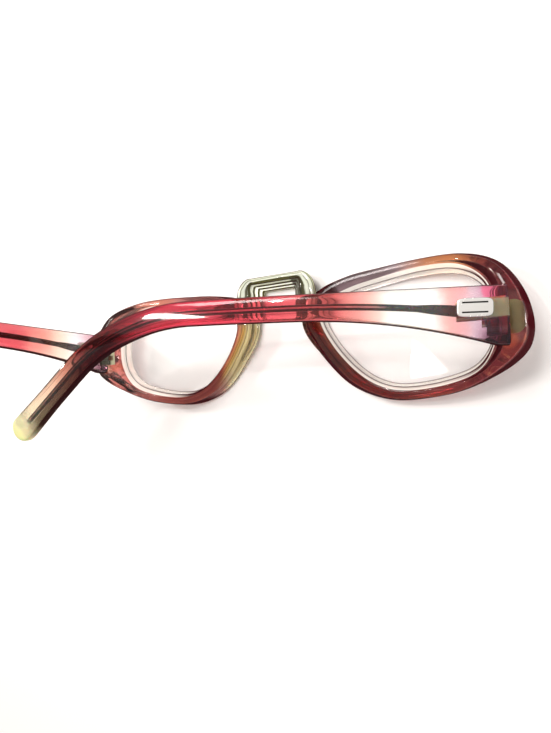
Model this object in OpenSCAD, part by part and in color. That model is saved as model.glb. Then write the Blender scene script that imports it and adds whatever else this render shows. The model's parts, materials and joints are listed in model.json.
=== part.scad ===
// Translucent acetate eyeglasses, lying on the fronts of their rims as they are put down on a table.
// +X is the wearer's right, +Y the wearer's up and +Z points back to the wearer.
// The right arm is folded most of the way across the back, and the left arm stands open.

/* [Lenses] */
// Width of a lens opening at the back of the rim
lens_w = 46.8; // [42:0.2:52]
// Height of a lens opening at the back of the rim
lens_h = 33.2; // [29:0.2:38]
// Gap between the two lens openings at the nose
lens_gap = 29; // [26:0.5:33]
// Thickness of a lens
lens_t = 1.9; // [1.4:0.1:2.2]
// How far the middle of a lens stands forward of its edge
lens_dome = 0.8; // [0:0.1:1.0]
// Clearance between a lens and its groove
lens_clear = 0.04; // [0.02:0.01:0.1]

/* [Front frame] */
// Depth of the rims from front to back
rim_depth = 5; // [4.4:0.1:6]
// Rim height over a lens
rim_top = 2.2; // [1.8:0.1:3]
// Rim height under a lens
rim_bottom = 2.7; // [2:0.1:3.6]
// Rim width beside the nose, at the back
rim_nose = 4.4; // [3.6:0.1:5.5]
// Extra rim width beside the nose, at the front
flare_w = 2.5; // [1.6:0.1:3.2]
// Width of the end pieces beside the lenses
end_w = 7.6; // [7:0.1:10]
// How much further in the front lip of a rim reaches than its back edge
slope_w = 2; // [1.4:0.1:2.6]
// Depth of the lens groove
groove = 0.8; // [0.5:0.1:1.1]
// Distance from the front of a rim to its lens groove
groove_back = 2.3; // [2:0.1:2.6]
// Rounding of the outer edges
edge_r = 1.1; // [0.5:0.1:1.6]
// Radius that the front is curved to over each lens
base_r = 128; // [100:1:200]
// Half distance between the two foremost lines, which the front lies on
rest_x = 24; // [20:0.5:28]

/* [Bridge] */
// Height of the top of the bridge over the middle of the lenses
bridge_top = 21.9; // [20:0.1:25]
// Half width of the arch to the middle of its legs, at the back
arch_half_w = 11; // [10:0.1:12]
// Thickness of the top of the arch at the front
arch_t = 4.9; // [4:0.1:5.6]
// Width of a leg of the arch
leg_w = 5.4; // [4.6:0.1:6]
// Number of terraces that the arch opens in towards the back
terraces = 4; // [3:1:5]
// Depth of the arch from front to back
arch_depth = 5.3; // [4.5:0.1:6]
// Width of a nose pad
pad_w = 3.8; // [3:0.1:4.4]
// Thickness of a nose pad
pad_t = 1.3; // [1:0.1:2.2]

/* [Arms] */
// How far a hinge pin lies inside the outer end of its lens opening
pin_in = 0.9; // [0:0.1:2]
// Distance of the hinge pins behind the back of the bridge
pin_back = 13.2; // [11:0.1:14]
// Length of an arm along its curve, from the hinge pin
arm_len = 143.5; // [132:0.5:150]
// Height of an arm at the hinge
arm_root_h = 13.2; // [11:0.1:14]
// Height of an arm along its slim part
arm_h = 6.7; // [5.4:0.1:7.4]
// Height of an arm at its rounded tip
tip_h = 7.7; // [6:0.1:9]
// Length over which an arm narrows
arm_taper = 46; // [36:1:56]
// Thickness of an arm
arm_t = 4.6; // [3.8:0.1:5]
// Thickness of an arm at its tip
tip_t = 3.2; // [2.6:0.1:3.8]
// Length of the straight part before the ear bend
bend_start = 73.5; // [66:0.5:78]
// Radius of the ear bend
bend_r = 55; // [46:1:70]
// Angle of the ear bend
bend_angle = 43; // [34:1:48]
// How far an arm sags from its hinge to its ear bend
arm_droop = 0.8; // [0:0.1:2]
// Rise of the arms towards the ears
arm_rise = 3.1; // [0:0.1:5]
// Angle that the right arm is folded through at rest
fold_rest = 80; // [70:1:84]
// Diameter of the core wire
wire_d = 1.4; // [1:0.1:1.8]
// Width of the flat paddle at the hinge end of the core wire
paddle_w = 2.6; // [2:0.1:3.4]
// Length of the paddle
paddle_len = 9.5; // [6:0.5:11]
// Length of the metal plaque on an arm
plaque_len = 7.2; // [6.4:0.1:8]
// Height of the plaque
plaque_h = 4.1; // [3.2:0.1:5]
// Thickness of the plaque
plaque_t = 0.7; // [0.5:0.1:1]

/* [Hinges] */
// Height of one hinge knuckle
knuckle_h = 1.5; // [1.2:0.05:1.7]
// Gap between two knuckles
knuckle_gap = 0.06; // [0.04:0.01:0.1]
// Radius of a knuckle
knuckle_r = 1.5; // [1.3:0.05:1.7]
// Radius of the hinge screw
screw_r = 0.65; // [0.5:0.05:0.8]
// Radial clearance of the hinge screw in the knuckles
screw_clear = 0.04; // [0.02:0.01:0.08]
// Thickness of the hinge leaves
leaf_t = 0.8; // [0.6:0.05:1]
// How far the outside of an end piece leans in towards the back
lean_w = 2; // [0:0.1:3]
// Length of the anchor plate in an end piece, outwards from the pin
anchor_len = 6.4; // [5:0.1:7.2]
// Radius of a rivet's shank
rivet_r = 0.55; // [0.4:0.05:0.7]

/* [Hidden] */
$fn = 40;

acetate_rose = [0.62, 0.25, 0.28];
acetate_clear = [0.86, 0.82, 0.62];
arm_rose = [0.78, 0.32, 0.38];
lens_tint = [0.86, 0.93, 0.95, 0.5];
dark_metal = [0.28, 0.27, 0.24];
bright_metal = [0.8, 0.8, 0.82];

// The lens outline in a box from -1 to 1, from the nose round under the lens to the temple
lens_shape = [[-1, 0.34], [-0.85, -0.15], [-0.58, -0.62], [-0.3, -0.9], [0.02, -1],
    [0.48, -0.92], [0.82, -0.71], [0.98, -0.3], [1, 0.18], [0.91, 0.64],
    [0.66, 0.93], [0.28, 1], [-0.17, 0.94], [-0.6, 0.83], [-0.9, 0.64]];
steps = 5;
stations = len(lens_shape) * steps;
// Rim widths at the points of the outline
rim_widths = [rim_nose, 0.84 * rim_nose, 0.82 * rim_nose, 1.1 * rim_bottom, rim_bottom,
    1.04 * rim_bottom, 0.46 * end_w, 1.04 * end_w, end_w, 0.72 * end_w,
    1.35 * rim_top, 1.1 * rim_top, 1.35 * rim_top, 1.7 * rim_top, 0.95 * rim_nose];
// Share of the nose flare and of the end piece's height at the same points
flares = [1, 0.75, 0.6, 0.35, 0.15, 0, 0, 0, 0, 0, 0, 0, 0, 0.15, 0.6];
end_rises = [0, 0, 0, 0, 0, 0, 0.3, 1.05, 1.1, 0.8, 0.15, 0, 0, 0, 0];

lens_x = (lens_gap + lens_w) / 2;
pin_x = lens_gap / 2 + lens_w - pin_in;
bend_blend = 10;
crest = sqrt(rest_x * rest_x + bend_blend * bend_blend);
// Height of the front surface: a shallow curve over each lens that is smooth across the bridge
function bow(x) = let (d = sqrt(x * x + bend_blend * bend_blend) - crest) d * d / (2 * base_r);

back_z = bow(0) + rim_depth;
pin_z = back_z + pin_back;
butt = 2.4;
butt_z = pin_z - butt;
butt_gap = 0.1;
arm_in = 0.6;
inner_mid = 0.65;
groove_half = 0.75;

function wrap(list, i) = list[(i + len(list)) % len(list)];
// A closed Catmull-Rom curve through the values of a list, at place t of the stretch from i to i + 1
function curve(list, i, t) = let (a = wrap(list, i - 1), b = wrap(list, i), c = wrap(list, i + 1),
    d = wrap(list, i + 2)) 0.5 * (2 * b + (c - a) * t + (2 * a - 5 * b + 4 * c - d) * t * t
    + (3 * b - a - 3 * c + d) * t * t * t);
function along(list) = [for (i = [0:len(list) - 1], k = [0:steps - 1]) curve(list, i, k / steps)];
function unit(v) = v / norm(v);

opening = [for (p = along(lens_shape)) [lens_x + p.x * lens_w / 2, p.y * lens_h / 2]];
outward = [for (i = [0:stations - 1]) let (d = unit(wrap(opening, i + 1) - wrap(opening, i - 1)))
    [d.y, -d.x]];
widths = along(rim_widths);
flare = [for (v = along(flares)) flare_w * max(v, 0)];
rise = [for (v = along(end_rises)) min(max(v, 0), 1)];
// The rim's inner wall slopes least beside the temples, and less beside the nose than over the lens
slopes = [for (i = [0:stations - 1]) slope_w * (1 - 0.6 * rise[i] - 0.4 * flare[i] / flare_w)];
seats = -inner_mid * slopes;

function at(i, s) = opening[i] + s * outward[i];
// Height of the end piece's butt face over the rim, at s outwards from the opening
function lift(i, s) = rise[i] * (butt_z - bow(at(i, s).x) - rim_depth);
// One rim section: steps outwards and back from the front, all the way round the section
function rim_section(i) = let (w = widths[i], f = flare[i], r = min(edge_r, 0.45 * w),
    lean = lean_w * rise[i], seat = seats[i], s_top = w - r - lean, s_edge = w - 0.3 * r - lean)
    [[-slopes[i] + 0.35, 0.15], [-slopes[i], 0.6], [seat - 0.1, groove_back - groove_half],
    [seat + groove, groove_back], [seat + 0.1, groove_back + groove_half], [-0.2, rim_depth - 0.5],
    [0.04 * w, rim_depth - 0.1], [0.13 * w, rim_depth + 0.1 * lift(i, 0.13 * w)],
    [0.2 * w, rim_depth + 0.86 * lift(i, 0.2 * w)], [0.28 * w, rim_depth + lift(i, 0.28 * w)],
    [s_top, rim_depth + lift(i, s_top)], [s_edge, rim_depth + lift(i, s_edge) - 0.3 * r],
    [w - 0.4 * lean, rim_depth + 0.55 * lift(i, w) - r], [w + f, r],
    [w + f - 0.3 * r, 0.3 * r], [w + f - r, 0]];
section_n = 16;

// A point of the front frame: its place in plan and its height over the bowed front surface
function front_point(i, q) = let (p = at(i, q.x)) [p.x, p.y, bow(p.x) + q.y];
// Faces of a tube of rings that closes on itself
function ring_faces(rings, n) = [for (i = [0:rings - 1], j = [0:n - 1])
    let (a = i * n + j, b = i * n + (j + 1) % n, c = ((i + 1) % rings) * n + (j + 1) % n,
    d = ((i + 1) % rings) * n + j) each [[a, c, b], [a, d, c]]];
// Faces of a tube with two flat ends
function tube_faces(rings, n) = concat([for (i = [0:rings - 2], j = [0:n - 1])
    let (a = i * n + j, b = i * n + (j + 1) % n, c = (i + 1) * n + (j + 1) % n, d = (i + 1) * n + j)
    each [[a, b, c], [a, c, d]]], [[for (j = [n - 1:-1:0]) j]],
    [[for (j = [0:n - 1]) (rings - 1) * n + j]]);

module rim() {
    points = [for (i = [0:stations - 1], q = rim_section(i)) front_point(i, q)];
    polyhedron(points, ring_faces(stations, section_n), convexity = 6);
}

// The arch is narrow and thick at the front and opens in terraces towards the back. Each point of a
// terrace's line is its place in plan and the radius there, from the top of the bridge down one leg
arch_turn = [3, 4];
leg_foot_y = 9;
leg_drop = 7;
function mix(a, b, t) = a + (b - a) * t;
function arch_line(t) = let (crown_r = mix(arch_t / 2, 1, t), crown_y = bridge_top - 0.9 * t - crown_r,
    leg_x = mix(arch_half_w - 2.5, arch_half_w, t), leg_r = leg_w / 2 + mix(0.2, -0.2, t))
    concat([[0, crown_y, crown_r]],
    [for (a = [90:-22.5:0]) [leg_x + arch_turn.x * (cos(a) - 1), crown_y + arch_turn.y * (sin(a) - 1),
    mix(crown_r, leg_r, 1 - a / 90)]],
    [[leg_x + 0.2, crown_y - leg_drop, leg_r], [leg_x + mix(0.5, 1.3, t), leg_foot_y, 0.95 * leg_r]]);

module terrace(level) {
    line = arch_line(level / (terraces - 1));
    z0 = bow(0) + max(0.15, arch_depth * (level - 0.4) / terraces);
    z1 = bow(0) + arch_depth * (level + 1) / terraces;
    for (side = [-1, 1], i = [0:len(line) - 2])
        hull() for (p = [line[i], line[i + 1]])
            translate([side * p.x, p.y, z0]) cylinder(r1 = p.z, r2 = p.z - 0.2, h = z1 - z0, $fn = 12);
}

module front_frame() {
    color(acetate_rose) {
        rim();
        mirror([1, 0, 0]) rim();
        for (level = [0:terraces - 1]) terrace(level);
    }
}

// A lens is a domed disc whose V edge sits in the groove
v_edge_h = 0.4;
dome_rings = [0.5, 0.85, 1];
function lens_point(i, share, z) = let (p = [lens_x, 0] + share * (at(i, seats[i] - v_edge_h) - [lens_x, 0]))
    [p.x, p.y, bow(p.x) + z - lens_dome * (1 - share * share)];
module lens() {
    front = groove_back - lens_t / 2;
    back = groove_back + lens_t / 2;
    loops = concat([for (share = dome_rings) [for (i = [0:stations - 1]) lens_point(i, share, front)]],
        [[for (i = [0:stations - 1]) front_point(i, [seats[i] + groove - lens_clear, groove_back])]],
        [for (k = [len(dome_rings) - 1:-1:0]) [for (i = [0:stations - 1])
            lens_point(i, dome_rings[k], back)]]);
    count = len(loops);
    points = concat([for (l = loops, p = l) p],
        [[lens_x, 0, bow(lens_x) + front - lens_dome], [lens_x, 0, bow(lens_x) + back - lens_dome]]);
    sides = [for (k = [0:count - 2], i = [0:stations - 1])
        let (a = k * stations + i, b = k * stations + (i + 1) % stations, c = b + stations,
        d = a + stations) each [[a, c, b], [a, d, c]]];
    caps = [for (i = [0:stations - 1]) let (j = (i + 1) % stations, last = (count - 1) * stations)
        each [[count * stations, i, j], [count * stations + 1, last + j, last + i]]];
    color(lens_tint) polyhedron(points, concat(sides, caps), convexity = 4);
}

// A nose pad is welded on the sloping wall beside the nose
pad_reach = 3;
module nose_pad() {
    spots = [for (i = [-pad_reach, 0, pad_reach]) (i + stations) % stations];
    color(acetate_clear) hull() for (i = spots) {
        p = at(i, widths[i] + 0.5 * flare[i]);
        turned = atan2(outward[i].y, outward[i].x);
        translate([p.x, p.y, bow(p.x) + 0.5 * rim_depth]) rotate([0, 0, turned])
            scale([pad_t, pad_w, pad_w] / pad_w) sphere(d = pad_w, $fn = 16);
    }
}

// Hinge parts are drawn round the pin at the origin, with the pin along Y and the open arm along +Z
knuckle_pitch = knuckle_h + knuckle_gap;
hinge_h = 5 * knuckle_h + 4 * knuckle_gap;
function knuckle_y(i) = -hinge_h / 2 + i * knuckle_pitch;
anchor_depth = 0.7;
anchor_z = -butt - anchor_depth - leaf_t;
anchor_r = 2;
web_w = 1.4 * knuckle_r;
head_h = 0.5;
head_r = 1.1;
head_clear = 0.05;
slot_w = 0.3;

module along_y(y, h, r) { translate([0, y, 0]) rotate([-90, 0, 0]) cylinder(r = r, h = h); }

module knuckle(i) { along_y(knuckle_y(i), knuckle_h, knuckle_r); }

// Three knuckles on webs that stand on a plate with rounded outer corners, sunk into the end piece
module front_hinge() {
    color(dark_metal) difference() {
        union() {
            for (i = [0, 2, 4]) {
                knuckle(i);
                translate([-web_w / 2, knuckle_y(i), anchor_z + leaf_t / 2])
                    cube([web_w, knuckle_h, -anchor_z - leaf_t / 2]);
            }
            translate([0, 0, anchor_z]) linear_extrude(leaf_t) {
                translate([-web_w / 2, -hinge_h / 2]) square([anchor_len - anchor_r + web_w / 2, hinge_h]);
                translate([0, anchor_r - hinge_h / 2]) square([anchor_len, hinge_h - 2 * anchor_r]);
                for (s = [-1, 1]) translate([anchor_len - anchor_r, s * (hinge_h / 2 - anchor_r)])
                    circle(r = anchor_r);
            }
        }
        along_y(-hinge_h, 2 * hinge_h, screw_r + screw_clear);
        along_y(hinge_h / 2 - head_h - head_clear, 1, head_r + head_clear);
    }
}

module hinge_screw() {
    color(bright_metal) difference() {
        union() {
            along_y(-hinge_h / 2, hinge_h, screw_r);
            along_y(hinge_h / 2 - head_h, head_h, head_r);
        }
        translate([-slot_w / 2, (hinge_h - head_h) / 2, -head_r]) cube([slot_w, head_h, 2 * head_r]);
    }
}

// The arm's curve: straight, then bent down over the ear; u is measured along it from the pin
bend_len = bend_r * bend_angle * PI / 180;
function turn(u) = min(max((u - bend_start) / bend_r * 180 / PI, 0), bend_angle);
function arm_along(u) = min(u, bend_start) + bend_r * sin(turn(u))
    + max(u - bend_start - bend_len, 0) * cos(bend_angle);
function arm_drop(u) = bend_r * (1 - cos(turn(u)))
    + max(u - bend_start - bend_len, 0) * sin(bend_angle);
arm_power = 2.2;
arm_crown = arm_root_h / 2;
tip_swell_len = 20;
function tip_swell(u) = let (t = max(u - arm_len + tip_swell_len, 0) / tip_swell_len) t * t * (3 - 2 * t);
function half_h(u) = arm_h / 2 + (tip_h - arm_h) / 2 * tip_swell(min(u, arm_len))
    + (arm_root_h - arm_h) / 2 * pow(max(1 - max(u, 0) / arm_taper, 0), arm_power);
function tip_round(u) = let (d = (u - arm_len + tip_h / 2) / (tip_h / 2))
    d > 0 ? sqrt(max(1 - d * d, 0.01)) : 1;
droop_start = 42;
droop_end = bend_start + 18;
function droop(u) = arm_droop * pow(min(max((u - droop_start) / (droop_end - droop_start), 0), 1), 2);
function half_t(u) = (arm_t + (tip_t - arm_t) * max(u, 0) / arm_len) / 2;
// A point of the arm at u, with n outwards from the arm's middle and h up from its centre line
function arm_point(u, n, h) = let (z = arm_along(u) + h * sin(turn(u)),
    y = arm_crown - half_h(min(u, bend_start)) - droop(u) - arm_drop(u) + h * cos(turn(u)))
    [arm_in + arm_t / 2 + n, y + z * tan(arm_rise), z];
arm_round = 0.9;
function arm_section(u) = let (a = half_t(u) * (0.4 + 0.6 * tip_round(u)), b = half_h(u) * tip_round(u),
    r = min(arm_round, 0.6 * b))
    [[-a, -b + r], [-a, b - r], [-a + 0.3 * r, b - 0.3 * r], [-a + r, b],
    [a - r, b], [a - 0.3 * r, b - 0.3 * r], [a, b - r], [a, -b + r],
    [a - 0.3 * r, -b + 0.3 * r], [a - r, -b], [-a + r, -b], [-a + 0.3 * r, -b + 0.3 * r]];
section_points = 12;
arm_start = butt_gap - butt;
arm_us = concat([arm_start], [for (u = [2:4:bend_start - 4]) u],
    [for (k = [0:12]) bend_start + k * bend_len / 12],
    [for (k = [1:4]) bend_start + bend_len + k * (arm_len - tip_h / 2 - bend_start - bend_len) / 4],
    [for (a = [20:17:88]) arm_len - tip_h / 2 * (1 - sin(a))]);
arm_points = [for (u = arm_us, q = arm_section(u)) arm_point(u, q.x, q.y)];

leaf_len = 7.8;
leaf_y = 1.4;
leaf_h = 4.2;
leaf_sink = 0.3;
leaf_x = arm_in - leaf_t + leaf_sink;
leaf_start = knuckle_r + 0.3;
tongue_len = leaf_start + leaf_t;
rivet_zs = [3.1, 6.2];
rivet_clear = 0.02;
plaque_z = 4.4;
plaque_y = 1.65;
plaque_sink = 0.35;
pocket_clear = 0.04;
notch_room = 0.25;
arm_out = arm_in + arm_t;

module temple() {
    notch_h = hinge_h + 2 * notch_room;
    color(arm_rose) difference() {
        polyhedron(arm_points, tube_faces(len(arm_us), section_points), convexity = 6);
        along_y(-notch_h / 2, notch_h, knuckle_r + notch_room);
        translate([-knuckle_r, -notch_h / 2, -2 * butt]) cube([2 * knuckle_r + 0.1, notch_h, 2 * butt]);
        translate([arm_in - 1, leaf_y - leaf_h / 2 - pocket_clear, 0])
            cube([1 + leaf_sink + rivet_clear, leaf_h + 2 * pocket_clear, leaf_len + pocket_clear]);
        for (i = [1, 3]) translate([arm_in - 1, knuckle_y(i) - pocket_clear, 0])
            cube([1 + leaf_sink + rivet_clear, knuckle_h + 2 * pocket_clear, tongue_len + pocket_clear]);
        plaque_block(plaque_sink + rivet_clear, pocket_clear, 2);
        for (z = rivet_zs) rivet_place(z) cylinder(r = rivet_r + rivet_clear, h = 2 * arm_out, center = true);
    }
}

module rivet_place(z) { translate([0, leaf_y + z * tan(arm_rise), z]) rotate([0, 90, 0]) children(); }

// The plaque's rounded block, sunk into the arm's outer face
module plaque_block(sink, clear, thick) {
    r = 0.8;
    translate([arm_out - sink, plaque_y + plaque_z * tan(arm_rise), plaque_z]) rotate([-arm_rise, 0, 0])
        rotate([0, 90, 0]) linear_extrude(thick) hull() for (a = [-1, 1], b = [-1, 1])
            translate([a * (plaque_len / 2 - r), b * (plaque_h / 2 - r)]) circle(r = r + clear);
}

module plaque() {
    line_w = 0.35;
    line_depth = 0.15;
    color(bright_metal) difference() {
        plaque_block(plaque_sink, 0, plaque_t);
        for (s = [-1, 1]) translate([arm_out - plaque_sink + plaque_t - line_depth,
            plaque_y + plaque_z * tan(arm_rise) + s * plaque_h * 0.26, plaque_z]) rotate([-arm_rise, 0, 0])
            translate([0, -line_w / 2, -plaque_len * 0.36]) cube([1, line_w, plaque_len * 0.72]);
    }
}

// Two knuckles on a leaf that is let into the arm's inner face
module temple_hinge() {
    color(dark_metal) difference() {
        union() {
            for (i = [1, 3]) {
                knuckle(i);
                translate([leaf_x, knuckle_y(i), 0]) cube([leaf_t, knuckle_h, tongue_len]);
            }
            translate([leaf_x, leaf_y - leaf_h / 2, leaf_start])
                cube([leaf_t, leaf_h, leaf_len - leaf_start]);
        }
        along_y(-hinge_h, 2 * hinge_h, screw_r + screw_clear);
        for (z = rivet_zs) rivet_place(z) cylinder(r = rivet_r + rivet_clear, h = 4, center = true);
    }
}

// Each rivet holds the leaf with its head and ends under the plaque
module temple_rivets() {
    rivet_head_h = 0.35;
    color(bright_metal) for (z = rivet_zs) rivet_place(z) {
        translate([0, 0, leaf_x]) cylinder(r = rivet_r, h = arm_out - plaque_sink - leaf_x);
        translate([0, 0, leaf_x - rivet_head_h]) cylinder(r1 = 0.7, r2 = 1, h = rivet_head_h);
    }
}

// The wire starts in a flat paddle under the end of the plaque and stops short of the arm's tip
wire_start = 7.3;
wire_end = arm_len - arm_h;
wire_step = 6;
module core_wire() {
    us = concat([for (u = [wire_start + paddle_len:wire_step:bend_start]) u],
        [for (k = [1:10]) bend_start + k * bend_len / 10], [wire_end]);
    ring = [for (a = [0:45:315]) wire_d / 2 * [cos(a), -sin(a)]];
    flat = [for (d = [0, 1, paddle_len * 0.5, paddle_len - 0.5])
        let (s = d / paddle_len, w = paddle_w * (1 - 0.45 * s * s) / 2 * (d == 0 ? 0.8 : 1), t = wire_d * 0.3)
        [for (a = [0:45:315]) arm_point(wire_start + d, t * cos(a), -w * sin(a))]];
    round = [for (u = us) [for (q = ring) arm_point(u, q.x, q.y)]];
    rings = concat(flat, round);
    color(dark_metal) polyhedron([for (l = rings, p = l) p], tube_faces(len(rings), 8), convexity = 6);
}

// Places what is drawn round the right pin, with the arm open
module at_pin() { translate([pin_x, 0, pin_z]) children(); }
module right_arm() { at_pin() rotate([0, -fold_rest, 0]) children(); }
module left_arm() { mirror([1, 0, 0]) at_pin() children(); }

// The origin is under the middle of the whole object, on the surface that it lies on
front_half = max([for (i = [0:stations - 1]) at(i, widths[i] + flare[i]).x]);
low_y = min([for (p = arm_points) p.y]);
low_x = min([for (p = arm_points) pin_x + p.x * cos(fold_rest) - p.z * sin(fold_rest)]);
mid_x = (front_half + min(low_x, -front_half)) / 2;
mid_y = (bridge_top + low_y) / 2;
module placed() { translate([-mid_x, -mid_y, 0]) children(); }

placed() front_frame();
placed() lens();  // lens_right
placed() mirror([1, 0, 0]) lens();  // lens_left
placed() nose_pad();  // nose_pad_right
placed() mirror([1, 0, 0]) nose_pad();  // nose_pad_left
placed() at_pin() front_hinge();  // front_hinge_right
placed() mirror([1, 0, 0]) at_pin() front_hinge();  // front_hinge_left
placed() at_pin() hinge_screw();  // hinge_screw_right
placed() mirror([1, 0, 0]) at_pin() hinge_screw();  // hinge_screw_left
placed() right_arm() temple();  // temple_right
placed() left_arm() temple();  // temple_left
placed() right_arm() temple_hinge();  // temple_hinge_right
placed() left_arm() temple_hinge();  // temple_hinge_left
placed() right_arm() temple_rivets();  // temple_rivets_right
placed() left_arm() temple_rivets();  // temple_rivets_left
placed() right_arm() core_wire();  // core_wire_right
placed() left_arm() core_wire();  // core_wire_left
placed() right_arm() plaque();  // plaque_right
placed() left_arm() plaque();  // plaque_left
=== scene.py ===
# Translucent acetate eyeglasses on a white table, seen from the wearer's side.
# Shapes are worked out in millimetres round the frame's own hinge pins and then put in the frame in metres.
import json
import math

import bpy
import numpy as np
from mathutils import Matrix, Vector

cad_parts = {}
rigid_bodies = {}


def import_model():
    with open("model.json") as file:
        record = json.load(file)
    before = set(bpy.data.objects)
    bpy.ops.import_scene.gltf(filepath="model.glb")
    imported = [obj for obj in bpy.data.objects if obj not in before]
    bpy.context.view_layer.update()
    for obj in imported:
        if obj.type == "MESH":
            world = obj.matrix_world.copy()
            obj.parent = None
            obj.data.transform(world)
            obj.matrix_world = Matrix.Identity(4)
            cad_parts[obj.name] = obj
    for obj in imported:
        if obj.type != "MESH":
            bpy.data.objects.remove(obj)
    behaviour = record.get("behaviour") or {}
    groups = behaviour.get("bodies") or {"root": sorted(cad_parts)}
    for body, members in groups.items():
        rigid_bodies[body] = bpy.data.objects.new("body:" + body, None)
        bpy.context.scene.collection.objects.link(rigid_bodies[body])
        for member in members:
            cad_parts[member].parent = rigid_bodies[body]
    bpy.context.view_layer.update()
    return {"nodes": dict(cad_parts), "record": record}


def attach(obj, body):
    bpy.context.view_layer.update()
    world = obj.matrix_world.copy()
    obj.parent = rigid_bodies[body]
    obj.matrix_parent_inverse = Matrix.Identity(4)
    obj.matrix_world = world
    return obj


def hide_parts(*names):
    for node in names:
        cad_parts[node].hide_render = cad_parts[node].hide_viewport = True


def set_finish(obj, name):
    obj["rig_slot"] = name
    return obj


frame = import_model()
print("frame loaded")

mm = 0.001
joints = {j["name"]: j for j in frame["record"]["behaviour"]["joints"]}
# the two hinge pins: 1 is the wearer's right, -1 the left
pins = {1: np.array(joints["right_fold"]["pos_m"]) / mm, -1: np.array(joints["left_fold"]["pos_m"]) / mm}
middleX = (pins[1][0] + pins[-1][0]) / 2
datumY = pins[1][1]


def catmullRom(points, steps):
    # closed curve through the points, the same number of steps from each to the next: every step is the cubic
    # of the two points beside it and the two beyond them
    p0, p1, p2, p3 = (np.roll(points, k, 0)[:, None] for k in (1, 0, -1, -2))
    t = (np.arange(steps) / steps)[None, :, None]
    square = (2 * p0 - 5 * p1 + 4 * p2 - p3) * t**2
    cube = (3 * p1 - p0 - 3 * p2 + p3) * t**3
    return (0.5 * (2 * p1 + (p2 - p0) * t + square + cube)).reshape(-1, points.shape[1])


def cutCorners(loops):
    # twice over, every side of every closed loop is replaced by its middle half, which rounds the corners
    for _ in range(2):
        following = np.roll(loops, -1, 1)
        pairs = np.stack([0.75 * loops + 0.25 * following, 0.25 * loops + 0.75 * following], 2)
        loops = pairs.reshape(len(loops), -1, loops.shape[2])
    return loops


def enclosedVolume(vertices, faces):
    # sum of the signed volumes of the wedges from the origin to each face
    total = 0.0
    for size in {len(f) for f in faces}:
        rows = np.array([f for f in faces if len(f) == size])
        for k in range(1, size - 1):
            a, b, c = vertices[rows[:, 0]], vertices[rows[:, k]], vertices[rows[:, k + 1]]
            total += np.einsum("ij,ij->i", a, np.cross(b, c)).sum() / 6
    return total


def surface(name, grid, ringAlong=False):
    # a grid of points, closed across; its first and last rows close on poles, or on each other in a ring
    rows, columns = grid.shape[:2]
    i = np.arange(rows if ringAlong else rows - 1)[:, None]
    j = np.arange(columns)[None, :]
    corner = [(i, j), (i, j + 1), (i + 1, j + 1), (i + 1, j)]
    quads = np.stack([(a % rows) * columns + b % columns + 0 * (i + j) for a, b in corner], -1).reshape(-1, 4)
    uv = np.stack([np.stack([a / max(rows - 1, 1) + 0 * j, b / columns + 0 * i], -1) for a, b in corner], 2)
    uv = uv.reshape(-1, 2)
    vertices = grid.reshape(-1, 3)
    faces = quads.tolist()
    if not ringAlong:
        vertices = np.vstack([vertices, grid[0].mean(0), grid[-1].mean(0)])
        ring = np.arange(columns)
        following, last = (ring + 1) % columns, (rows - 1) * columns
        ends = [(rows * columns, following, ring, 0.0),
                (rows * columns + 1, last + ring, last + following, 1.0)]
        for pole, a, b, u in ends:
            faces += np.stack([np.full(columns, pole), a, b], -1).tolist()
            uv = np.vstack([uv, np.stack([np.full(3 * columns, u), np.full(3 * columns, 0.5)], -1)])
    # a surface that came out inside out is turned, its UV map with it
    if enclosedVolume(vertices, faces) < 0:
        sizes = np.array([len(f) for f in faces])
        starts = np.concatenate([[0], np.cumsum(sizes)[:-1]])
        order = np.concatenate([np.arange(s + n - 1, s - 1, -1) for s, n in zip(starts, sizes)])
        faces, uv = [f[::-1] for f in faces], uv[order]
    mesh = bpy.data.meshes.new(name)
    mesh.from_pydata((vertices * mm).tolist(), [], faces)
    mesh.uv_layers.new(name="along").data.foreach_set("uv", uv.ravel())
    mesh.shade_smooth()
    piece = bpy.data.objects.new(name, mesh)
    bpy.context.scene.collection.objects.link(piece)
    return piece


sharpFrom = math.radians(35)


def settle(piece):
    # keep a piece's modified mesh and drop its modifiers
    graph = bpy.context.evaluated_depsgraph_get()
    shaped = piece.evaluated_get(graph)
    mesh = bpy.data.meshes.new_from_object(shaped, preserve_all_data_layers=True, depsgraph=graph)
    piece.modifiers.clear()
    piece.data = mesh
    mesh.polygons.foreach_set("material_index", np.zeros(len(mesh.polygons), np.int32))
    mesh.shade_smooth()
    mesh.set_sharp_from_angle(angle=sharpFrom)


def combine(piece, other, operation):
    # unite a piece with another one, or cut the other one out of it
    step = piece.modifiers.new("combine", "BOOLEAN")
    step.operation, step.solver, step.object = operation, "EXACT", other
    settle(piece)
    bpy.data.objects.remove(other)


def atFront(points):
    # from the lens centre line's own millimetres to the frame's
    return points + np.array([middleX, datumY, 0.0])


# the front: two lofted rims and a terraced arch, united into one moulding
front = {
    "lensWide": 46.8, "lensHigh": 33.2, "lensGap": 29.0, "rimDepth": 5.0, "rimTop": 2.2, "rimBottom": 2.7,
    "rimNose": 4.4, "noseFlare": 2.5, "endWide": 7.6, "innerSlope": 2.0, "groove": 0.8, "grooveBack": 2.3,
    "grooveHalf": 0.75, "edgeRound": 1.1, "baseRadius": 128.0, "restX": 24.0, "blend": 10.0, "endLean": 2.0,
    "butt": 2.4, "pinBack": 13.2, "stepsRound": 16, "seatShare": 0.65, "riseEase": 0.6, "flareEase": 0.4,
    "lipIn": 0.35, "lipDeep": 0.15, "wallDeep": 0.6, "grooveSoft": 0.1, "backIn": 0.2, "backDeep": 0.5,
    "soft": 0.3, "sideIn": 0.4, "sideUp": 0.55, "edgeShare": 0.45,
}
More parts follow.
